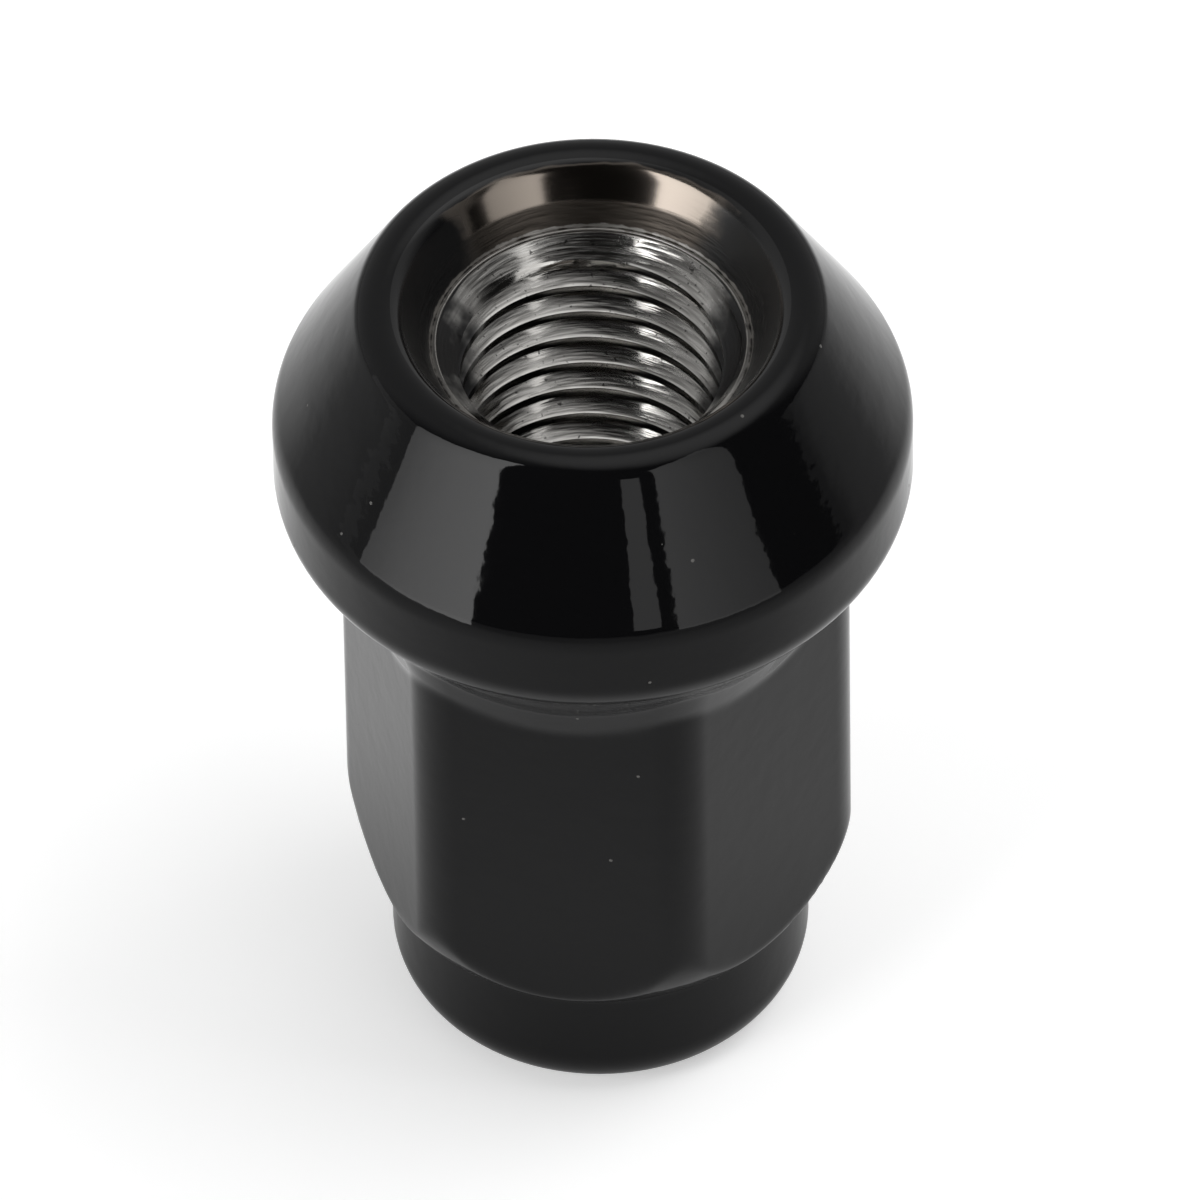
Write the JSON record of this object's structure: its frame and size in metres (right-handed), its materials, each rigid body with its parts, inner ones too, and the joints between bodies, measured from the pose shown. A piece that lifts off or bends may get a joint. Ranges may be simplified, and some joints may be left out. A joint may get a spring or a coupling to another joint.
{
  "type": "lug nut",
  "caption": "Gloss black closed-end lug nut with a rounded wrench hex, a bulge and a conical seat round a threaded mouth",
  "frame": {"origin": "centre of the closed end's flat, on the thread's axis", "axes": "+Z runs along the thread from the closed end to the open mouth; two flats of the hex face -Y and +Y, and two of its corners lie on X"},
  "size_m": [0.026, 0.026, 0.0386],
  "materials": {
    "black_coat": "gloss black coat on forged steel, with bare cut steel in the mouth and the thread"
  },
  "bodies": {
    "root": {"lug_nut": "black_coat"}
  },
  "joints": []
}
